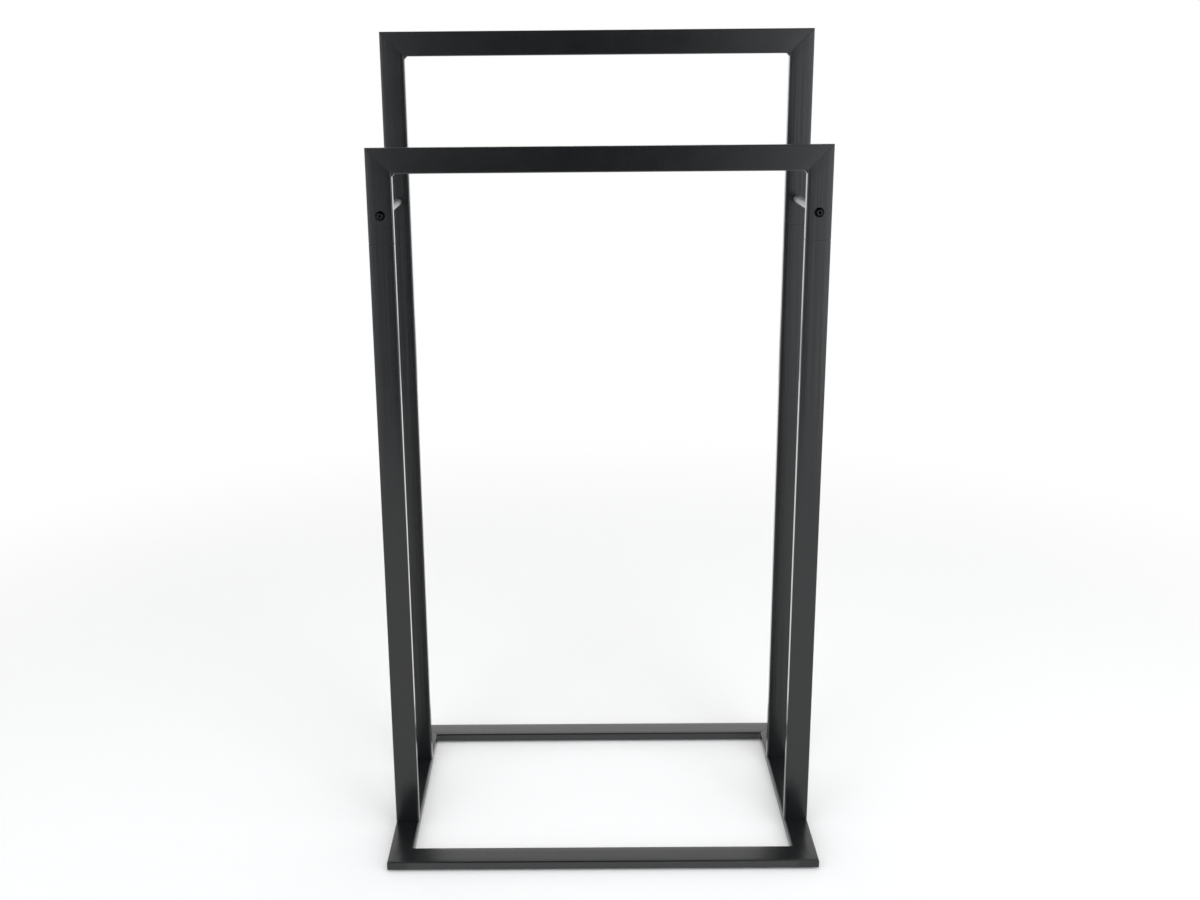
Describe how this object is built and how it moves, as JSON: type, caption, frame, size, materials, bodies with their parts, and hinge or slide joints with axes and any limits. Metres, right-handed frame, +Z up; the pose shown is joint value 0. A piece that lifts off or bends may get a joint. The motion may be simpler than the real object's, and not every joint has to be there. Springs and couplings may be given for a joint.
{
  "type": "freestanding towel stand",
  "caption": "Freestanding towel stand of black flat tube: a rectangular floor frame carries a low front U-shaped rail and a tall rear one, tied by short side rods.",
  "frame": {"origin": "on the floor, at the centre of the stand's rectangular footprint", "axes": "+X to the right as seen from the front, +Y towards the back with the tall rail, +Z up"},
  "size_m": [0.45, 0.28, 0.85],
  "materials": {
    "black_coat": "fine satin black powder coat on steel",
    "black_screw": "black zinc plated steel",
    "plain_steel": "plain mill-finished steel, inside the tubes",
    "zinc_steel": "dull zinc plated steel",
    "pad_rubber": "matt black rubber"
  },
  "bodies": {
    "root": {"base_front_bar": "black_coat", "base_rear_bar": "black_coat", "base_left_bar": "black_coat", "base_right_bar": "black_coat", "left_front_leg": "black_coat", "left_rear_leg": "black_coat", "right_front_leg": "black_coat", "right_rear_leg": "black_coat", "front_rail": "black_coat", "rear_rail": "black_coat", "front_left_post": "black_coat", "front_right_post": "black_coat", "rear_left_post": "black_coat", "rear_right_post": "black_coat", "base_corner_welds": "black_coat", "front_frame_welds": "black_coat", "rear_frame_welds": "black_coat", "front_lock_screws": "black_screw", "rear_lock_screws": "black_screw", "left_front_spigot": "plain_steel", "left_rear_spigot": "plain_steel", "right_front_spigot": "plain_steel", "right_rear_spigot": "plain_steel", "left_front_foot_nut": "plain_steel", "left_rear_foot_nut": "plain_steel", "right_front_foot_nut": "plain_steel", "right_rear_foot_nut": "plain_steel", "left_cross_rod": "zinc_steel", "right_cross_rod": "zinc_steel", "base_bolts": "zinc_steel", "base_pads": "pad_rubber"}
  },
  "joints": []
}
